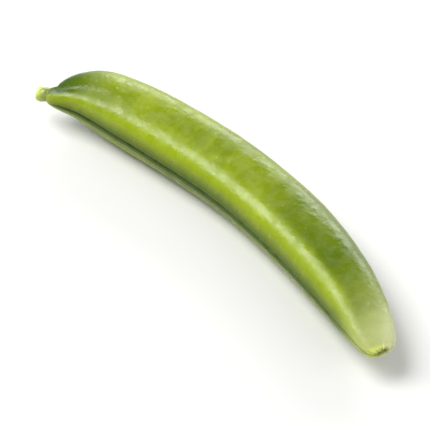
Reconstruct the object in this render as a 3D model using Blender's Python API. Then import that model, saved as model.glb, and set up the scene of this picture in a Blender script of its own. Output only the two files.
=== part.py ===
"""A sugar snap pea pod, lying on one broad side. One closed solid, in metres.

+X runs from the stub of the stalk to the snapped-off tip, +Z is up, and the pod curves round
the -Y side, where its double seam is. The single seam runs along the outside of the curve, at +Y.
The origin is at the middle of the pod's box, on the surface that the pod lies on.
"""

import math

import bmesh
import bpy
from mathutils import Vector

MM = 0.001

# Driving dimensions
SPINE_LENGTH = 87.4 * MM  # along the curved middle line, stub to tip
WIDTH = 12.9 * MM  # from seam to seam
THICKNESS = 10.2 * MM  # through the two broad sides
FLAT_DEPTH = 0.28 * MM  # how far the lying side is pressed flat

# The middle line
BEND = math.radians(25.5)  # the heading at each end of the even bend
STUB_SET, STUB_SET_SPREAD = 3.05 * MM, 4.8 * MM  # how far the stub sits toward the double seam
RISE = 0.9 * MM  # how far both ends lift off the surface
TWIST = math.radians(3)  # the roll at each end: the double seam dips by the stub and lifts by the tip

# The stub of the stalk, where the flower's cup broke off
STUB_LENGTH = 2.0 * MM  # to where the double seam's side starts to swell
STUB_BACK_LENGTH = 3.0 * MM  # to where the single seam's side stands up from it, more steeply
STUB_RADIUS = 1.3 * MM
STUB_LIP = 0.14 * MM  # how far the ring round its end stands out
STUB_LIP_PLACE = 0.8 * MM
STUB_LIP_SPREAD = 0.65 * MM
STUB_HOLE_RADIUS = 0.45 * MM
STUB_HOLE_DEPTH = 0.7 * MM
STUB_HOLE = ((0.7, 1.0), (1.0, 0.3), (1.5, 0.0))  # from its floor out, as shares of its radius and depth

# The snapped-off tip
TIP_HALF_WIDTH = 2.0 * MM
TIP_HALF_THICKNESS = 1.15 * MM
TIP_SLANT, TIP_SLANT_RUN = 0.5 * MM, 3 * MM  # how much further back the break lies at the single seam
TIP_WALL = 0.72 * MM
TIP_SLOT_DEPTH = 0.5 * MM
TIP_SLOT = ((0.8, 0.0), (1.0, 0.3), (1.15, 1.0))  # from its rim in, as shares of the wall and its depth

# How the pod swells from each end: the share of the length that it takes, and how blunt it is
DOUBLE_SEAM_SWELL = (0.36, 0.58)  # the half of the width on the double seam's side
SINGLE_SEAM_SWELL = (0.10, 0.32)
THICKNESS_SWELL = (0.19, 0.76)
TIP_WIDTH_SWELL = (0.42, 0.575)
TIP_THICKNESS_SWELL = (0.34, 0.85)

# How square the section is at each seam: 2 is an ellipse, and more flattens the sides
DOUBLE_SEAM_SQUARENESS = 2.65
SINGLE_SEAM_SQUARENESS = 2.7

# The shoulder where each broad side turns to face the double seam, at an angle round from that seam
SHOULDER_PLACE, SHOULDER_SPREAD = math.radians(42), math.radians(16)
SHOULDER_DRIFT = math.radians(8)  # how much further round it lies by the tip
SHOULDER_DROP, SHOULDER_DROP_RUN = math.radians(31), 6.5 * MM  # how it falls back to the seam at the tip
SHOULDER_HEIGHT = 0.12 * MM

# The shallow hollow behind the shoulder, and the deeper one there beside the stub
HOLLOW_GAP, HOLLOW_SPREAD = math.radians(27), math.radians(19)
HOLLOW_DEPTH = 0.16 * MM
STEM_HOLLOW_ALONG, STEM_HOLLOW_RUN = 8.0 * MM, 5.0 * MM
STEM_HOLLOW_DEPTH = 0.22 * MM

# The peas that show as low swellings of the broad sides
PEA_COUNT = 8
FIRST_PEA, LAST_PEA = 0.17, 0.86
PEA_PLACE, PEA_TURN = math.radians(92), math.radians(36)
PEA_HEIGHT = 0.11 * MM
PEA_SPREAD = 2.7 * MM
PEA_UNEVENNESS, PEA_STEP = 0.2, 2.4  # no two peas are quite alike

# The seams: the double one has two lips with a groove between, the single one has a low ridge
LIP_HEIGHT, LIP_PLACE, LIP_SPREAD = 0.15 * MM, 0.72 * MM, 0.40 * MM
GROOVE_DEPTH, GROOVE_SPREAD = 0.26 * MM, 0.22 * MM
RIDGE_HEIGHT, RIDGE_SPREAD = 0.20 * MM, 0.5 * MM
FLANK_DEPTH, FLANK_PLACE, FLANK_SPREAD = 0.06 * MM, 1.7 * MM, 0.5 * MM

# How quickly the relief fades as the pod narrows, as powers of its size there
SEAM_FADE = 0.6
BROAD_SIDE_FADE = 0.7

# How finely the skin is divided
SIDES = 52
BODY_RINGS = 72
SEAM_CROWDING = 0.6  # how much closer together the sides are at the seams
END_CROWDING = 0.11  # how much closer together the rings are at the ends
DEEPEST_INSET = 0.75  # the most that a ring is drawn in, as a share of its radius
SPINE_STEPS = 400
WELD = 0.000001
SHARP_ANGLE = math.radians(50)

SKIN_COLOUR = "8FA82B"
SKIN_ROUGHNESS = 0.38


def clear_scene():
    for obj in list(bpy.data.objects):
        bpy.data.objects.remove(obj)


def linear(hex_colour):
    """A linear RGBA colour from an sRGB hex value."""
    channels = [int(hex_colour[i : i + 2], 16) / 255 for i in (0, 2, 4)]
    return [c / 12.92 if c <= 0.04045 else ((c + 0.055) / 1.055) ** 2.4 for c in channels] + [1.0]


def bell(distance, spread):
    return math.exp(-((distance / spread) ** 2))


def swell(distance, run, bluntness):
    """Rises from 0 at the end to 1 at a distance of run, rounding over as it gets there."""
    x = min(max(distance / run, 0.0), 1.0)
    return (1 - (1 - x) ** 2) ** bluntness


def half_sizes(share):
    """The section's sizes at a share of the length.

    They are the width on each seam's side, half the thickness, and how full the section is, from 0 to 1.
    """
    past_stub = share - STUB_LENGTH / SPINE_LENGTH
    past_back = share - STUB_BACK_LENGTH / SPINE_LENGTH
    stub = STUB_RADIUS + STUB_LIP * bell(share * SPINE_LENGTH - STUB_LIP_PLACE, STUB_LIP_SPREAD)
    tip_width = 2 * TIP_HALF_WIDTH / WIDTH
    tip_thickness = 2 * TIP_HALF_THICKNESS / THICKNESS
    width_taper = tip_width + (1 - tip_width) * swell(1 - share, *TIP_WIDTH_SWELL)
    thickness_taper = tip_thickness + (1 - tip_thickness) * swell(1 - share, *TIP_THICKNESS_SWELL)
    fullness = swell(past_back, *SINGLE_SEAM_SWELL)
    double_side = stub + (WIDTH / 2 * width_taper - stub) * swell(past_stub, *DOUBLE_SEAM_SWELL)
    single_side = stub + (WIDTH / 2 * width_taper - stub) * fullness
    half_thickness = stub + (THICKNESS / 2 * thickness_taper - stub) * swell(past_stub, *THICKNESS_SWELL)
    return double_side, single_side, half_thickness, fullness


def pea_swelling(share):
    """How far the peas push out the broad sides at a share of the length."""
    total = 0.0
    for i in range(PEA_COUNT):
        place = FIRST_PEA + (LAST_PEA - FIRST_PEA) * i / (PEA_COUNT - 1)
        fullness = 1 - PEA_UNEVENNESS * (1 - math.cos(PEA_STEP * i))
        total += fullness * bell((share - place) * SPINE_LENGTH, PEA_SPREAD)
    return PEA_HEIGHT * total


def shoulder_place(share):
    """How far round from the double seam the shoulder lies, at a share of the length."""
    drop = SHOULDER_DROP * bell((1 - share) * SPINE_LENGTH, SHOULDER_DROP_RUN)
    return SHOULDER_PLACE + SHOULDER_DRIFT * share - drop


def broad_side_relief(share, from_double):
    """How far the shoulder and the peas stand out of the plain section, at an angle from the double seam."""
    past_shoulder = from_double - shoulder_place(share)
    deeper = STEM_HOLLOW_DEPTH * bell(share * SPINE_LENGTH - STEM_HOLLOW_ALONG, STEM_HOLLOW_RUN)
    shoulder = SHOULDER_HEIGHT * bell(past_shoulder, SHOULDER_SPREAD)
    hollow = (HOLLOW_DEPTH + deeper) * bell(past_shoulder - HOLLOW_GAP, HOLLOW_SPREAD)
    peas = bell(from_double - PEA_PLACE, PEA_TURN) * pea_swelling(share)
    return shoulder + peas - hollow


def seam_relief(from_double, from_single, size):
    """How far the seams stand out of the plain section, at a distance round it from each seam."""
    from_double = from_double / size
    from_single = from_single / size
    lips = bell(abs(from_double) - LIP_PLACE, LIP_SPREAD) * LIP_HEIGHT
    groove = bell(from_double, GROOVE_SPREAD) * GROOVE_DEPTH
    ridge = bell(from_single, RIDGE_SPREAD) * RIDGE_HEIGHT
    flanks = bell(min(abs(from_double), abs(from_single)) - FLANK_PLACE, FLANK_SPREAD) * FLANK_DEPTH
    return (lips - groove + ridge - flanks) * size


def spine():
    """The middle line as (place, heading) at even steps, stub first."""
    place = Vector((0, 0, 0))
    points = []
    for i in range(SPINE_STEPS + 1):
        c = 2 * i / SPINE_STEPS - 1
        step = SPINE_LENGTH / SPINE_STEPS
        heading = -BEND * c
        aside = -STUB_SET * bell(i * step, STUB_SET_SPREAD)
        points.append((place + Vector((0, aside, RISE * c * c)), heading))
        place = place + Vector((math.cos(heading), math.sin(heading), 0)) * step
    return points


def skin_point(points, share, turn, inset, depth):
    """A point of the skin.

    Turn goes from 0 to 1 round the section. Inset draws the point in by a length, and depth pushes it into
    the pod from its end.
    """
    place, heading = points[round(share * SPINE_STEPS)]
    along = Vector((math.cos(heading), math.sin(heading), 0))
    across = Vector((-math.sin(heading), math.cos(heading), 0))
    angle = math.tau * turn - SEAM_CROWDING / 2 * math.sin(2 * math.tau * turn)
    double_side, single_side, half_thickness, fullness = half_sizes(share)
    size = (single_side / (WIDTH / 2)) ** SEAM_FADE
    c, s = math.cos(angle), math.sin(angle)
    half_width = double_side if c < 0 else single_side
    squareness = (DOUBLE_SEAM_SQUARENESS * (1 - c) + SINGLE_SEAM_SQUARENESS * (1 + c)) / 2
    power = 2 + (squareness - 2) * fullness
    plain = (abs(c / half_width) ** power + abs(s / half_thickness) ** power) ** (-1 / power)
    from_single = math.remainder(angle, math.tau)
    from_double = math.remainder(angle - math.pi, math.tau)
    slimness = (half_thickness / (THICKNESS / 2)) ** BROAD_SIDE_FADE
    relief = seam_relief(from_double * double_side, from_single * single_side, size)
    relief += broad_side_relief(share, abs(from_double)) * slimness
    radius = plain + relief * fullness
    roll = TWIST * (1 - 2 * share)
    out = across * math.cos(angle + roll) + Vector((0, 0, 1)) * math.sin(angle + roll)
    inner = 1 if share < 0.5 else -1
    slant = TIP_SLANT * (0.5 + 0.5 * c) * bell((1 - share) * SPINE_LENGTH, TIP_SLANT_RUN)
    return place + out * (radius - min(inset, radius * DEEPEST_INSET)) + along * (depth + slant) * inner


def rings():
    """Each ring as (share, inset, depth), from the stub hole's floor to the tip slot's floor."""
    rim = STUB_RADIUS + STUB_LIP * bell(STUB_LIP_PLACE, STUB_LIP_SPREAD)
    hole = [(0.0, rim - STUB_HOLE_RADIUS * width, STUB_HOLE_DEPTH * depth) for width, depth in STUB_HOLE]
    body = []
    for i in range(BODY_RINGS + 1):
        even = i / BODY_RINGS
        body.append((even - END_CROWDING * math.sin(math.tau * even), 0.0, 0.0))
    slot = [(1.0, TIP_WALL * inset, TIP_SLOT_DEPTH * depth) for inset, depth in TIP_SLOT]
    return hole + body + slot


def rolled_skin():
    """A sheet rolled into the pod's skin, closed at both ends."""
    rows = rings()
    points = spine()
    mesh = bmesh.new()
    bmesh.ops.create_grid(mesh, x_segments=len(rows) - 1, y_segments=SIDES, size=0.5)
    for vertex in mesh.verts:
        row = round((vertex.co.x + 0.5) * (len(rows) - 1))
        share, inset, depth = rows[row]
        vertex.co = skin_point(points, share, vertex.co.y + 0.5, inset, depth)
    bmesh.ops.remove_doubles(mesh, verts=mesh.verts, dist=WELD)
    ends = [edge for edge in mesh.edges if edge.is_boundary]
    bmesh.ops.holes_fill(mesh, edges=ends, sides=SIDES)
    bmesh.ops.recalc_face_normals(mesh, faces=mesh.faces)
    return mesh


def press_flat(mesh):
    """Cuts the lowest skin away level, where the pod lies, and puts the origin there, under its middle."""
    floor = min(vertex.co.z for vertex in mesh.verts) + FLAT_DEPTH
    everything = list(mesh.verts) + list(mesh.edges) + list(mesh.faces)
    bmesh.ops.bisect_plane(
        mesh, geom=everything, dist=WELD, plane_co=(0, 0, floor), plane_no=(0, 0, -1), clear_outer=True
    )
    for vertex in mesh.verts:
        vertex.co.z = max(vertex.co.z, floor)
    rim = [edge for edge in mesh.edges if edge.is_boundary]
    bmesh.ops.holes_fill(mesh, edges=rim, sides=0)
    bmesh.ops.recalc_face_normals(mesh, faces=mesh.faces)
    xs = [vertex.co.x for vertex in mesh.verts]
    ys = [vertex.co.y for vertex in mesh.verts]
    middle = Vector(((min(xs) + max(xs)) / 2, (min(ys) + max(ys)) / 2, floor))
    bmesh.ops.translate(mesh, vec=-middle, verts=mesh.verts)


def skin_material():
    material = bpy.data.materials.new("pea_pod_skin")
    material.use_nodes = True
    shader = material.node_tree.nodes["Principled BSDF"]
    shader.inputs["Base Color"].default_value = linear(SKIN_COLOUR)
    shader.inputs["Roughness"].default_value = SKIN_ROUGHNESS
    shader.inputs["Metallic"].default_value = 0.0
    return material


def make_pod():
    mesh = rolled_skin()
    press_flat(mesh)
    data = bpy.data.meshes.new("pod")
    mesh.to_mesh(data)
    mesh.free()
    data.materials.append(skin_material())
    data.shade_smooth()
    data.set_sharp_from_angle(angle=SHARP_ANGLE)
    pod = bpy.data.objects.new("pod", data)
    bpy.context.scene.collection.objects.link(pod)
    return pod


clear_scene()
make_pod()
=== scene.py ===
"""The looks of one sugar snap pea pod, which lies on one broad side.

Its skin follows the form of the pod's solid, more finely divided. Lengths are in metres, in the solid's
frame. +X runs from the stub of the stalk to the snapped-off tip, the double seam is at -Y, on the
inside of the curve, the single seam is at +Y, and +Z is up.
"""

import math

import bmesh
import bpy
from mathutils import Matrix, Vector, noise


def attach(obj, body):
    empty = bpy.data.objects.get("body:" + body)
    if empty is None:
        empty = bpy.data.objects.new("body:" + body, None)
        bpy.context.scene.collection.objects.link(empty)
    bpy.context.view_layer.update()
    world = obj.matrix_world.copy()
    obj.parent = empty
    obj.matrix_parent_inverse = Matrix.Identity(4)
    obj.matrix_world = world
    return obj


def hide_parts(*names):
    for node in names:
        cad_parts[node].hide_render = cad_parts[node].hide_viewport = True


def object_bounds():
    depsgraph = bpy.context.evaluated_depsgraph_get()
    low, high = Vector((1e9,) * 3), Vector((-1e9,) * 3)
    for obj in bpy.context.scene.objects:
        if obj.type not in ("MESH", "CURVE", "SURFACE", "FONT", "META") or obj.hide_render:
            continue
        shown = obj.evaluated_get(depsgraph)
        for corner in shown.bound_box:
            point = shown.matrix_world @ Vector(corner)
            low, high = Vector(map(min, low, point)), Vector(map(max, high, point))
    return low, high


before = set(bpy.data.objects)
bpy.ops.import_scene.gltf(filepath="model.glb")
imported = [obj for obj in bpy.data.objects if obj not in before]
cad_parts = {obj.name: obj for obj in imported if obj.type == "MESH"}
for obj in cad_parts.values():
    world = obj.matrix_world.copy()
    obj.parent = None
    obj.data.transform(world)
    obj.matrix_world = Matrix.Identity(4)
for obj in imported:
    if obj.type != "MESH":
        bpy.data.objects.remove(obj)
solid_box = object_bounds()

MM = 0.001

# The pod's main sizes, the same as its solid's
SPINE_LENGTH = 87.4 * MM  # along the curved middle line, stub to tip
WIDTH = 12.9 * MM  # from seam to seam
THICKNESS = 10.2 * MM  # through the two broad sides

# The middle line
BEND = math.radians(25.5)  # the heading at each end of the even bend
STUB_SET, STUB_SET_SPREAD = 3.05 * MM, 4.8 * MM  # how far the stub sits toward the double seam
RISE = 0.9 * MM  # how far both ends lift off the surface
TWIST = math.radians(3)  # the roll at each end: the double seam dips by the stub and lifts by the tip

# The stub of the stalk, where the flower's cup broke off
STUB_LENGTH = 2.0 * MM  # to where the double seam's side starts to swell
STUB_BACK_LENGTH = 3.0 * MM  # to where the single seam's side stands up from it, more steeply
STUB_RADIUS = 1.3 * MM
STUB_LIP = 0.14 * MM  # how far the ring round its end stands out
STUB_LIP_PLACE = 0.8 * MM
STUB_LIP_SPREAD = 0.65 * MM
STUB_SCARS, STUB_SCAR_DEPTH = 5, 0.14 * MM  # where the flower's five leaves broke off
STUB_SCAR_SPREAD = 0.5 * MM
STUB_RAG, STUB_RAG_RUN = 0.22 * MM, 0.5 * MM  # how uneven the break is, and how far in that reaches
STUB_RAG_FINENESS, STUB_RAG_OCTAVES = 2.2, 3

# The snapped-off tip
TIP_HALF_WIDTH = 2.0 * MM
TIP_HALF_THICKNESS = 1.15 * MM
TIP_SLANT, TIP_SLANT_RUN = 0.5 * MM, 3 * MM  # how much further back the break lies at the single seam
TIP_RAG, TIP_RAG_RUN = 0.45 * MM, 0.7 * MM
TIP_RAG_FINENESS, TIP_RAG_OCTAVES = 3.6, 4
TIP_RAG_PLACE = Vector((0, 0, 5))  # where in the noise it is read, away from the stub's

# How the pod swells from each end: the share of the length that it takes, and how blunt it is
DOUBLE_SEAM_SWELL = (0.36, 0.58)  # the half of the width on the double seam's side
SINGLE_SEAM_SWELL = (0.10, 0.32)
THICKNESS_SWELL = (0.19, 0.76)
TIP_WIDTH_SWELL = (0.42, 0.575)
TIP_THICKNESS_SWELL = (0.34, 0.85)

# How square the section is at each seam: 2 is an ellipse, and more flattens the sides
DOUBLE_SEAM_SQUARENESS = 2.65
SINGLE_SEAM_SQUARENESS = 2.7

# The shoulder where each broad side turns to face the double seam, at an angle round from that seam
SHOULDER_PLACE, SHOULDER_SPREAD = math.radians(42), math.radians(16)
SHOULDER_DRIFT = math.radians(8)  # how much further round it lies by the tip
SHOULDER_DROP, SHOULDER_DROP_RUN = math.radians(31), 6.5 * MM  # how it falls back to the seam at the tip
SHOULDER_HEIGHT = 0.12 * MM

# The shallow hollow behind the shoulder, and the deeper one there beside the stub
HOLLOW_GAP, HOLLOW_SPREAD = math.radians(27), math.radians(19)
HOLLOW_DEPTH = 0.16 * MM
STEM_HOLLOW_ALONG, STEM_HOLLOW_RUN = 8.0 * MM, 5.0 * MM
STEM_HOLLOW_DEPTH = 0.22 * MM

# The peas that show as low swellings of the broad sides
PEA_COUNT = 8
FIRST_PEA, LAST_PEA = 0.17, 0.86
PEA_PLACE, PEA_TURN = math.radians(92), math.radians(36)
PEA_HEIGHT = 0.11 * MM
PEA_SPREAD = 2.7 * MM
PEA_UNEVENNESS, PEA_STEP = 0.2, 2.4  # no two peas are quite alike

# The seams: the double one has two lips with a groove between, the single one has a low ridge
LIP_HEIGHT, LIP_PLACE, LIP_SPREAD = 0.15 * MM, 0.72 * MM, 0.40 * MM
GROOVE_DEPTH, GROOVE_SPREAD = 0.26 * MM, 0.22 * MM
RIDGE_HEIGHT, RIDGE_SPREAD = 0.20 * MM, 0.5 * MM
FLANK_DEPTH, FLANK_PLACE, FLANK_SPREAD = 0.06 * MM, 1.7 * MM, 0.5 * MM
LIP_WANDER, LIP_WANDER_WAVES = 0.05 * MM, 40  # how far the lips stray, and how often along the pod
LIP_UNEVENNESS, LIP_UNEVENNESS_WAVES = 0.25, 30
LIPS_APART = 3  # how far apart in the noise the two lips are read, so that they differ

# How quickly the relief fades as the pod narrows, as powers of its size there
SEAM_FADE = 0.6
BROAD_SIDE_FADE = 0.7

# How uneven the grown skin is, always inward so that it stays within the solid's box
SWELL_DEPTH, SWELL_SIZE = 0.12 * MM, 6.0 * MM
DENT_DEPTH, DENT_SIZE = 0.07 * MM, 1.6 * MM
CLEARANCE = 0.03 * MM

# How far each kind of colouring reaches over the skin, painted shade, light and sheen among them
LIP_SHADE_SPREAD = 0.48 * MM
GROOVE_SHADE_SPREAD = 0.35 * MM
SHOULDER_LIGHT_SET = math.radians(9)  # how far toward the double seam the painted light below the shoulder is set
SHOULDER_LIGHT_SPREAD = math.radians(16)
# How far the painted shade beside the double seam reaches round it, and how far short of the tip it
# stops
FLANK_SHADE_SPREAD, FLANK_SHADE_TIP_GAP = math.radians(17), 6 * MM
SHADE_EDGE, SHADE_SOFTNESS = math.radians(9), math.radians(4.6)  # where the painted shade starts past the shoulder, and how softly
# Where the painted shade reaches along the pod, by the stub and toward the tip
STEM_SHADE_ALONG, STEM_SHADE_RUN = 2 * MM, 6 * MM
TIP_SHADE_BACK, TIP_SHADE_RUN, TIP_SHADE_SHARE = 22 * MM, 14 * MM, 0.6
STUB_PAINT_RUN = 1.8 * MM
TIP_PAINT_RUN, TIP_SHEEN_RUN = 7 * MM, 8 * MM
RIM_PAINT_RUN = 0.7 * MM
DULL_RUN = 12 * MM
HOLE_PAINT_INSET, HOLE_PAINT_RUN = 0.5 * MM, 0.3 * MM

# The sizes of the skin's patterns
PATCH_SIZE = 9 * MM
MOTTLING_LENGTH_MM, MOTTLING_GAP_MM = 4, 2.5  # across the pod and along it
MOTTLING_SLANT = 0.35  # how far it is turned from straight across, in radians
SPECK_GAP = 0.9 * MM
WAX_SIZE = 2 * MM
GRAIN_SIZE, GRAIN_DEPTH = 1.1 * MM, 0.11 * MM

# The breaks, from the middle of the stub's hole out and from the tip's rim in, as rows of how far the
# skin is drawn in and how deep it lies, in mm, and how far it gathers toward the middle line
STUB_BREAK = (
    (1.00, 0.75, 1.0),
    (1.00, 0.75, 0.5),
    (0.98, 0.70, 0.0),
    (0.94, 0.50, 0.0),
    (0.88, 0.25, 0.0),
    (0.78, 0.08, 0.0),
    (0.62, 0.00, 0.0),
    (0.42, 0.00, 0.0),
    (0.22, 0.03, 0.0),
    (0.08, 0.09, 0.0),
)
TIP_BREAK = (
    (0.06, 0.09, 0.0),
    (0.18, 0.03, 0.0),
    (0.36, 0.00, 0.0),
    (0.56, 0.02, 0.0),
    (0.74, 0.07, 0.0),
    (0.88, 0.16, 0.0),
    (1.00, 0.32, 0.0),
    (1.10, 0.50, 0.0),
    (1.15, 0.55, 0.5),
    (1.15, 0.55, 1.0),
)
END_ROUNDING, END_ROUNDING_RUN = 0.2 * MM, 2 * MM  # how the skin turns in toward each break

# How finely the skin is divided
SIDES = 168
BODY_RINGS = 400
SEAM_CROWDING = 0.6  # how much closer together the sides are at the seams
END_CROWDING = 0.11  # how much closer together the rings are at the ends
DEEPEST_INSET = 0.75  # the most that a ring is drawn in, as a share of its radius
SPINE_STEPS = 4000
WELD = 0.0000002  # points nearer than this become one

# The camera looks down on the pod as the photograph does
CAMERA_AZIMUTH, CAMERA_ELEVATION = math.radians(48), math.radians(47)
CAMERA_DISTANCE = 0.6
CAMERA_LENS = 293.0
CAMERA_NEAR, CAMERA_FAR = 0.01, 20.0
CAMERA_TARGET = Vector((-1.28 * MM, -3.71 * MM, 2.97 * MM))

# The studio: a white table top, a white room, and each softbox as its direction from the pod, its
# distance, width and height, and how bright its face looks, where white paper is 1
FLOOR_HALF_SIZE = 3.0
FLOOR_GAP = 0.02 * MM  # keeps the table top just clear of the pod's flat spot
ROOM_BRIGHTNESS = 0.28
SOFTBOXES = {
    "left_softbox": ((-0.5, -0.3, 0.81), 0.9, 0.58, 0.72, 8.5),
    "right_softbox": ((0.75, 0.35, 0.55), 1.1, 0.8, 0.6, 2.0),
    "back_softbox": ((-0.4, 0.87, 0.33), 1.1, 1.2, 0.52, 5.2),
}


def linear(hex_colour):
    """A linear RGBA colour from an sRGB hex value."""
    channels = [int(hex_colour[i : i + 2], 16) / 255 for i in (0, 2, 4)]
    return [c / 12.92 if c <= 0.04045 else ((c + 0.055) / 1.055) ** 2.4 for c in channels] + [1.0]


def bell(distance, spread):
    """1 at no distance, and falling away smoothly past the spread."""
    return math.exp(-((distance / spread) ** 2))


def swell(distance, run, bluntness):
    """Rises from 0 at the end to 1 at a distance of run, rounding over as it gets there."""
    x = min(max(distance / run, 0.0), 1.0)
    return (1 - (1 - x) ** 2) ** bluntness


def half_sizes(share):
    """The half width on each seam's side, half the thickness and how full the section is.

    Share is the share of the length, from 0 at the stub to 1 at the tip, here and below.
    """
    past_stub = share - STUB_LENGTH / SPINE_LENGTH
    past_back = share - STUB_BACK_LENGTH / SPINE_LENGTH
    stub = STUB_RADIUS + STUB_LIP * bell(share * SPINE_LENGTH - STUB_LIP_PLACE, STUB_LIP_SPREAD)
    tip_width = 2 * TIP_HALF_WIDTH / WIDTH
    tip_thickness = 2 * TIP_HALF_THICKNESS / THICKNESS
    width_taper = tip_width + (1 - tip_width) * swell(1 - share, *TIP_WIDTH_SWELL)
    thickness_taper = tip_thickness + (1 - tip_thickness) * swell(1 - share, *TIP_THICKNESS_SWELL)
    fullness = swell(past_back, *SINGLE_SEAM_SWELL)
    double_side = stub + (WIDTH / 2 * width_taper - stub) * swell(past_stub, *DOUBLE_SEAM_SWELL)
    single_side = stub + (WIDTH / 2 * width_taper - stub) * fullness
    half_thickness = stub + (THICKNESS / 2 * thickness_taper - stub) * swell(past_stub, *THICKNESS_SWELL)
    return double_side, single_side, half_thickness, fullness


def relief_size(single_side):
    """How large the seams' relief is beside its size at the widest part of the pod."""
    return (single_side / (WIDTH / 2)) ** SEAM_FADE


def angle_round(turn):
    """The angle round the section from the single seam, for a turn from 0 to 1."""
    return math.tau * turn - SEAM_CROWDING / 2 * math.sin(2 * math.tau * turn)


def pea_swelling(share):
    """How far the peas push out the broad sides at a share of the length."""
    total = 0.0
    for i in range(PEA_COUNT):
        place = FIRST_PEA + (LAST_PEA - FIRST_PEA) * i / (PEA_COUNT - 1)
        fullness = 1 - PEA_UNEVENNESS * (1 - math.cos(PEA_STEP * i))
        total += fullness * bell((share - place) * SPINE_LENGTH, PEA_SPREAD)
    return PEA_HEIGHT * total


def shoulder_place(share):
    """How far round from the double seam the shoulder lies, at a share of the length."""
    drop = SHOULDER_DROP * bell((1 - share) * SPINE_LENGTH, SHOULDER_DROP_RUN)
    return SHOULDER_PLACE + SHOULDER_DRIFT * share - drop


def broad_side_relief(share, from_double):
    """How far the shoulder and the peas stand out of the section, at an angle from the double seam."""
    past_shoulder = from_double - shoulder_place(share)
    deeper = STEM_HOLLOW_DEPTH * bell(share * SPINE_LENGTH - STEM_HOLLOW_ALONG, STEM_HOLLOW_RUN)
    shoulder = SHOULDER_HEIGHT * bell(past_shoulder, SHOULDER_SPREAD)
    hollow = (HOLLOW_DEPTH + deeper) * bell(past_shoulder - HOLLOW_GAP, HOLLOW_SPREAD)
    peas = bell(from_double - PEA_PLACE, PEA_TURN) * pea_swelling(share)
    return shoulder + peas - hollow


def seam_relief(share, from_double, from_single, size):
    """How far the seams stand out of the plain section, at a distance round it from each seam."""
    wander = LIP_WANDER * noise.noise(Vector((share * LIP_WANDER_WAVES, 0.5, 0.5)))
    from_double = from_double / size + wander
    from_single = from_single / size
    lip_place = Vector((share * LIP_UNEVENNESS_WAVES, math.copysign(LIPS_APART, from_double), 0))
    lip_height = LIP_HEIGHT * (1 + LIP_UNEVENNESS * noise.noise(lip_place))
    lips = bell(abs(from_double) - LIP_PLACE, LIP_SPREAD) * lip_height
    groove = bell(from_double, GROOVE_SPREAD) * GROOVE_DEPTH
    ridge = bell(from_single, RIDGE_SPREAD) * RIDGE_HEIGHT
    flanks = bell(min(abs(from_double), abs(from_single)) - FLANK_PLACE, FLANK_SPREAD) * FLANK_DEPTH
    return (lips - groove + ridge - flanks) * size


def spine():
    """The middle line as (place, heading) at even steps, stub first."""
    place = Vector((0, 0, 0))
    points = []
    for i in range(SPINE_STEPS + 1):
        c = 2 * i / SPINE_STEPS - 1
        step = SPINE_LENGTH / SPINE_STEPS
        heading = -BEND * c
        aside = -STUB_SET * bell(i * step, STUB_SET_SPREAD)
        points.append((place + Vector((0, aside, RISE * c * c)), heading))
        place = place + Vector((math.cos(heading), math.sin(heading), 0)) * step
    return points


def torn(place, octaves):
    """Noise from 0 to 1, whose octaves are each twice as fine as the last and half as strong."""
    return min(max(0.5 + 0.5 * noise.fractal(place, 1.0, 2.0, octaves), 0), 1)


def raggedness(share, angle):
    """How far the breaks at the two ends lie back from the pod's full length, at an angle round it."""
    round_end = Vector((math.cos(angle), math.sin(angle), 0))
    if share < 0.5:
        rag = STUB_RAG * torn(round_end * STUB_RAG_FINENESS, STUB_RAG_OCTAVES)
        return rag * bell(share * SPINE_LENGTH, STUB_RAG_RUN)
    to_tip = SPINE_LENGTH - share * SPINE_LENGTH
    rag = TIP_RAG * torn(round_end * TIP_RAG_FINENESS + TIP_RAG_PLACE, TIP_RAG_OCTAVES)
    slant = TIP_SLANT * (0.5 + 0.5 * math.cos(angle)) * bell(to_tip, TIP_SLANT_RUN)
    return rag * bell(to_tip, TIP_RAG_RUN) + slant


def skin_point(points, share, turn, inset, depth, gather):
    """A point of the skin.

    Turn goes from 0 to 1 round the section. Inset draws the point in by a length, depth pushes it into
    the pod from its end, and gather draws it toward the middle line, all the way at 1.
    """
    place, heading = points[round(share * SPINE_STEPS)]
    along = Vector((math.cos(heading), math.sin(heading), 0))
    across = Vector((-math.sin(heading), math.cos(heading), 0))
    angle = angle_round(turn)
    double_side, single_side, half_thickness, fullness = half_sizes(share)
    size = relief_size(single_side)
    c, s = math.cos(angle), math.sin(angle)
    half_width = double_side if c < 0 else single_side
    squareness = (DOUBLE_SEAM_SQUARENESS * (1 - c) + SINGLE_SEAM_SQUARENESS * (1 + c)) / 2
    power = 2 + (squareness - 2) * fullness
    plain = (abs(c / half_width) ** power + abs(s / half_thickness) ** power) ** (-1 / power)
    from_single = math.remainder(angle, math.tau)
    from_double = math.remainder(angle - math.pi, math.tau)
    slimness = (half_thickness / (THICKNESS / 2)) ** BROAD_SIDE_FADE
    relief = seam_relief(share, from_double * double_side, from_single * single_side, size)
    relief += broad_side_relief(share, abs(from_double)) * slimness
    from_ring = share * SPINE_LENGTH - STUB_LIP_PLACE
    scars = (0.5 - 0.5 * math.cos(STUB_SCARS * angle)) * bell(from_ring, STUB_SCAR_SPREAD)
    radius = plain + relief * fullness - STUB_SCAR_DEPTH * scars - CLEARANCE
    roll = TWIST * (1 - 2 * share)
    out = across * math.cos(angle + roll) + Vector((0, 0, 1)) * math.sin(angle + roll)
    skin = place + out * radius
    swells = 0.5 + 0.5 * noise.noise(skin / SWELL_SIZE)
    dents = 0.5 + 0.5 * noise.noise(skin / DENT_SIZE)
    radius -= (SWELL_DEPTH * swells + DENT_DEPTH * dents) * fullness
    radius = (radius - min(inset, radius * DEEPEST_INSET)) * (1 - gather)
    inner = 1 if share < 0.5 else -1
    return place + out * radius + along * (depth + raggedness(share, angle)) * inner


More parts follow.
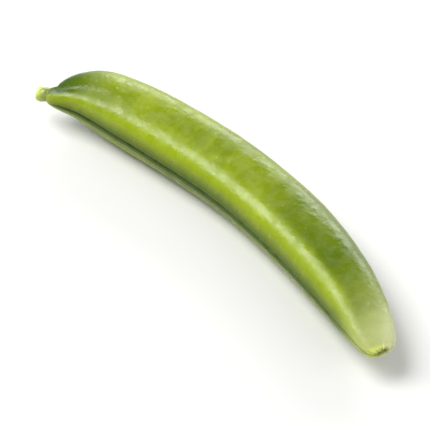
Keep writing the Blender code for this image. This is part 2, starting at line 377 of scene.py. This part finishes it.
def rings():
    """Each ring of the skin as (share, inset, depth, gather), from the stub's hole to the tip's slot."""
    stub_end = [(0.0, inset * MM, depth * MM, gather) for inset, depth, gather in STUB_BREAK]
    tip_end = [(1.0, inset * MM, depth * MM, gather) for inset, depth, gather in TIP_BREAK]
    body = []
    for i in range(BODY_RINGS + 1):
        even = i / BODY_RINGS
        share = even - END_CROWDING * math.sin(math.tau * even)
        end_gap = min(share, 1 - share) * SPINE_LENGTH
        body.append((share, 0.0, END_ROUNDING * max(0.0, 1 - end_gap / END_ROUNDING_RUN), 0.0))
    return stub_end + body + tip_end


def paint_shares(share, turn, inset):
    """How strongly each kind of colouring shows at a point of the skin, from 0 to 1."""
    double_side, single_side, _, fullness = half_sizes(share)
    size = relief_size(single_side)
    turned = abs(math.remainder(angle_round(turn) - math.pi, math.tau))
    from_single = (math.pi - turned) * single_side / size
    from_double = turned * double_side / size
    from_stub = share * SPINE_LENGTH
    to_tip = (1 - share) * SPINE_LENGTH
    past_shoulder = turned - shoulder_place(share)
    shade_run = bell(from_stub - STEM_SHADE_ALONG, STEM_SHADE_RUN)
    shade_run += TIP_SHADE_SHARE * bell(to_tip - TIP_SHADE_BACK, TIP_SHADE_RUN)
    behind = 0.5 + 0.5 * math.tanh((past_shoulder - SHADE_EDGE) / SHADE_SOFTNESS)
    single_seam_side = (0.5 - 0.5 * math.cos(turned)) ** 2
    # Painted shade lies beside the double seam, on its lips and in its groove, and on the sunken skin by
    # the stub and where the pod narrows; painted light lies below each shoulder, and a painted sheen on
    # the tip's single seam side
    return {
        "lip_shade": bell(from_double - LIP_PLACE, LIP_SHADE_SPREAD) * fullness,
        "ridge": bell(from_single, RIDGE_SPREAD) * fullness,
        "groove": bell(from_double, GROOVE_SHADE_SPREAD) * fullness,
        "shoulder": bell(past_shoulder + SHOULDER_LIGHT_SET, SHOULDER_LIGHT_SPREAD) * fullness,
        "flank_shade": bell(turned, FLANK_SHADE_SPREAD) * (1 - bell(to_tip, FLANK_SHADE_TIP_GAP)) * fullness,
        "painted_shade": shade_run * behind,
        "stub": bell(from_stub, STUB_PAINT_RUN),
        "tip": bell(to_tip, TIP_PAINT_RUN),
        "tip_sheen": bell(to_tip, TIP_SHEEN_RUN) * single_seam_side,
        "rim": bell(to_tip, RIM_PAINT_RUN) + bell(from_stub, RIM_PAINT_RUN),
        "hole": min(max(inset - HOLE_PAINT_INSET, 0.0) / HOLE_PAINT_RUN, 1.0),
        "dull": bell(to_tip, DULL_RUN),
    }


def rolled_skin():
    """A sheet rolled into the pod's skin and closed at both ends, with what its material reads on it."""
    rows = rings()
    points = spine()
    mesh = bmesh.new()
    bmesh.ops.create_grid(mesh, x_segments=len(rows) - 1, y_segments=SIDES, size=0.5)
    unwrapped = mesh.loops.layers.uv.new("OFBake")  # the whole skin laid out flat
    in_mm = mesh.loops.layers.uv.new("skin_mm")  # along the pod and round it from a seam, in mm
    for name in paint_shares(0.0, 0.0, 0.0):
        mesh.verts.layers.float.new(name)
    places = {}
    for vertex in mesh.verts:
        places[vertex] = (round((vertex.co.x + 0.5) * (len(rows) - 1)), vertex.co.y + 0.5)
    for face in mesh.faces:
        for loop in face.loops:
            row, turn = places[loop.vert]
            share = rows[row][0]
            double_side, single_side, half_thickness, _ = half_sizes(share)
            girth = math.pi * ((double_side + single_side) / 2 + half_thickness)
            loop[unwrapped].uv = (row / (len(rows) - 1), turn)
            loop[in_mm].uv = (share * SPINE_LENGTH / MM, abs(turn - 0.5) * girth / MM)
    for vertex in mesh.verts:
        row, turn = places[vertex]
        share, inset, depth, gather = rows[row]
        for name, strength in paint_shares(share, turn, inset).items():
            vertex[mesh.verts.layers.float[name]] = strength
        vertex.co = skin_point(points, share, turn, inset, depth, gather)
    bmesh.ops.remove_doubles(mesh, verts=mesh.verts, dist=WELD)
    bmesh.ops.recalc_face_normals(mesh, faces=mesh.faces)
    return mesh


def settle(mesh):
    """Moves the skin to where the solid is, and presses the lowest of it level, where the pod lies."""
    low, high = solid_box
    xs = [vertex.co.x for vertex in mesh.verts]
    ys = [vertex.co.y for vertex in mesh.verts]
    top = max(vertex.co.z for vertex in mesh.verts)
    middle = Vector(((min(xs) + max(xs)) / 2, (min(ys) + max(ys)) / 2, top))
    target = Vector(((low.x + high.x) / 2, (low.y + high.y) / 2, high.z - CLEARANCE))
    bmesh.ops.translate(mesh, vec=target - middle, verts=mesh.verts)
    for vertex in mesh.verts:
        vertex.co.z = max(vertex.co.z, low.z)


def add_node(tree, kind, settings=None, links=None):
    """Adds a node with its settings and its inputs' values or links, by name or by place."""
    node = tree.nodes.new(kind)
    for name, value in (settings or {}).items():
        setattr(node, name, value)
    for name, value in (links or {}).items():
        if isinstance(value, bpy.types.NodeSocket):
            tree.links.new(value, node.inputs[name])
        else:
            node.inputs[name].default_value = value
    return node


def empty_material(name):
    material = bpy.data.materials.new(name)
    material.use_nodes = True
    tree = material.node_tree
    return material, tree, tree.nodes["Principled BSDF"]


def waxy_skin():
    """Fresh pea pod skin, grown smooth under a thin bloom of wax, so it is satin with a soft gloss."""
    material, tree, shader = empty_material("pea_pod_skin_waxy")
    place = add_node(tree, "ShaderNodeTexCoord").outputs["Object"]
    over_skin = add_node(tree, "ShaderNodeUVMap", {"uv_map": "skin_mm"}).outputs["UV"]

    # Broad patches of deeper and lighter green
    patchy = {"Vector": place, "Scale": 1 / PATCH_SIZE, "Detail": 2.0}
    patches = add_node(tree, "ShaderNodeTexNoise", None, patchy)

    # Faint mottling in streaks that run across the pod from the seams
    along_and_across = (1 / MOTTLING_GAP_MM, 1 / MOTTLING_LENGTH_MM, 1.0)
    slanted = {"Vector": over_skin, "Rotation": (0, 0, MOTTLING_SLANT), "Scale": along_and_across}
    slant = add_node(tree, "ShaderNodeMapping", None, slanted)
    blotches = {"Vector": slant.outputs[0], "Scale": 1.0, "Detail": 5.0, "Distortion": 1.2}
    mottling = add_node(tree, "ShaderNodeTexNoise", None, blotches)

    # Sparse light specks, where only the noise's peaks show, under half a millimetre across
    speckled = {"Vector": place, "Scale": 1 / SPECK_GAP, "Detail": 1.0}
    specks = add_node(tree, "ShaderNodeTexNoise", None, speckled)

    # Each pattern as its noise, the range of it that shows, how strongly, and its colour
    patterns = (
        (patches, 0.35, 0.65, 1.0, "819102"),
        (mottling, 0.48, 0.75, 0.2, "A6B62E"),
        (specks, 0.70, 0.80, 0.4, "C4D65A"),
    )
    colour = linear("6B7D00")
    for pattern, low, high, strength, hex_colour in patterns:
        value = pattern.outputs["Fac"]
        shown = {"Value": value, "From Min": low, "From Max": high, "To Max": strength}
        share = add_node(tree, "ShaderNodeMapRange", None, shown).outputs[0]
        mixed = {0: share, 6: colour, 7: linear(hex_colour)}
        colour = add_node(tree, "ShaderNodeMix", {"data_type": "RGBA"}, mixed).outputs[2]

    # Each kind of colouring as its layer on the skin, how strongly it shows, and its colour; some are
    # painted shade, light or sheen
    paints = (
        ("flank_shade", 0.85, "2C4600"),  # painted shade: darker green on both sides of the double seam
        ("painted_shade", 0.95, "264600"),  # painted shade: dark green on the sunken skin by the stub and where the pod narrows
        # painted light: a lighter yellow-green band below each shoulder, where the light falls
        ("shoulder", 0.42, "A8BF18"),
        # painted shade: darker green on the double seam's lips
        ("lip_shade", 0.25, "42600C"),
        ("ridge", 0.15, "A5B94E"),
        ("tip", 0.75, "B2BA76"),
        ("stub", 0.85, "BECA78"),
        ("rim", 0.80, "D6E070"),  # the torn edges, pale where they have dried
        ("tip_sheen", 0.65, "D4D6B0"),  # painted sheen: the tip again, paler and greyer on the single seam's side
        # painted shade: a dark line in the double seam's groove
        ("groove", 0.40, "3F540A"),
        ("hole", 0.70, "8FA048"),
    )
    for layer, strength, hex_colour in paints:
        read = add_node(tree, "ShaderNodeAttribute", {"attribute_name": layer}).outputs["Fac"]
        strengths = {0: read, 1: strength}
        share = add_node(tree, "ShaderNodeMath", {"operation": "MULTIPLY"}, strengths).outputs[0]
        mixed = {0: share, 6: colour, 7: linear(hex_colour)}
        colour = add_node(tree, "ShaderNodeMix", {"data_type": "RGBA"}, mixed).outputs[2]

    # Gloss that varies with how thick the wax lies
    waxed = {"Vector": place, "Scale": 1 / WAX_SIZE, "Detail": 4.0}
    wax = add_node(tree, "ShaderNodeTexNoise", None, waxed).outputs["Fac"]
    gloss = {"Value": wax, "From Min": 0.36, "From Max": 0.64, "To Min": 0.20, "To Max": 0.46}
    roughness = add_node(tree, "ShaderNodeMapRange", None, gloss).outputs[0]

    # Duller toward the tip, where the skin has dried, and smoother under the painted shade
    for layer, added in (("dull", 0.2), ("painted_shade", -0.1)):
        read = add_node(tree, "ShaderNodeAttribute", {"attribute_name": layer}).outputs["Fac"]
        summed = {0: read, 1: added, 2: roughness}
        roughness = add_node(tree, "ShaderNodeMath", {"operation": "MULTIPLY_ADD"}, summed).outputs[0]

    # The grain of the skin over its cells, which breaks the gloss into specks. The real grain is finer
    # than the render can show, so it is drawn coarser.
    grained = {"Vector": place, "Scale": 1 / GRAIN_SIZE, "Detail": 4.0}
    grain = add_node(tree, "ShaderNodeTexNoise", None, grained)
    bumps = {"Height": grain.outputs["Fac"], "Distance": GRAIN_DEPTH, "Strength": 1.0}
    bump = add_node(tree, "ShaderNodeBump", None, bumps)

    tree.links.new(colour, shader.inputs["Base Color"])
    tree.links.new(roughness, shader.inputs["Roughness"])
    tree.links.new(bump.outputs[0], shader.inputs["Normal"])
    shader.inputs["IOR"].default_value = 1.42
    shader.inputs["Subsurface Weight"].default_value = 0.15
    shader.inputs["Subsurface Radius"].default_value = (0.6, 1.0, 0.25)
    shader.inputs["Subsurface Scale"].default_value = 1.0 * MM
    return material


def make_pod():
    mesh = rolled_skin()
    settle(mesh)
    data = bpy.data.meshes.new("pod_skin")
    mesh.to_mesh(data)
    mesh.free()
    data.materials.append(waxy_skin())
    data.shade_smooth()
    pod = bpy.data.objects.new("pod_skin", data)
    bpy.context.scene.collection.objects.link(pod)
    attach(pod, "root")
    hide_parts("pod")


def make_floor():
    """A wide white table top under the pod."""
    mesh = bmesh.new()
    bmesh.ops.create_grid(mesh, x_segments=1, y_segments=1, size=FLOOR_HALF_SIZE)
    bmesh.ops.translate(mesh, vec=(0, 0, -FLOOR_GAP), verts=mesh.verts)
    data = bpy.data.meshes.new("floor")
    mesh.to_mesh(data)
    mesh.free()
    material, _, shader = empty_material("table_top_matt_white")
    shader.inputs["Base Color"].default_value = linear("DADAD8")
    shader.inputs["Roughness"].default_value = 0.7
    data.materials.append(material)
    floor = bpy.data.objects.new("floor", data)
    bpy.context.scene.collection.objects.link(floor)


def aimed(obj, place, target):
    """Puts a light or the camera in the scene, turned toward a target."""
    obj.location = place
    obj.rotation_euler = (target - place).to_track_quat("-Z", "Y").to_euler()
    bpy.context.scene.collection.objects.link(obj)
    return obj


def add_softbox(name, direction, distance, width, height, brightness):
    """A softbox that faces the pod."""
    light = bpy.data.lights.new(name, "AREA")
    light.shape = "RECTANGLE"
    light.size = width
    light.size_y = height
    light.energy = brightness * width * height * math.pi
    place = CAMERA_TARGET + Vector(direction).normalized() * distance
    aimed(bpy.data.objects.new(name, light), place, CAMERA_TARGET)


def make_studio():
    world = bpy.data.worlds.new("white_room")
    world.use_nodes = True
    background = world.node_tree.nodes["Background"]
    background.inputs["Color"].default_value = linear("FFFFFF")
    background.inputs["Strength"].default_value = ROOM_BRIGHTNESS
    bpy.context.scene.world = world
    for name, softbox in SOFTBOXES.items():
        add_softbox(name, *softbox)


def make_camera():
    camera = bpy.data.cameras.new("camera")
    camera.lens = CAMERA_LENS
    camera.clip_start = CAMERA_NEAR
    camera.clip_end = CAMERA_FAR
    a, e = CAMERA_AZIMUTH, CAMERA_ELEVATION
    back = Vector((math.sin(a) * math.cos(e), -math.cos(a) * math.cos(e), math.sin(e)))
    place = CAMERA_TARGET + back * CAMERA_DISTANCE
    bpy.context.scene.camera = aimed(bpy.data.objects.new("camera", camera), place, CAMERA_TARGET)


make_camera()
make_pod()
make_floor()
make_studio()
bpy.context.scene.view_settings.view_transform = "Standard"

bpy.context.view_layer.update()
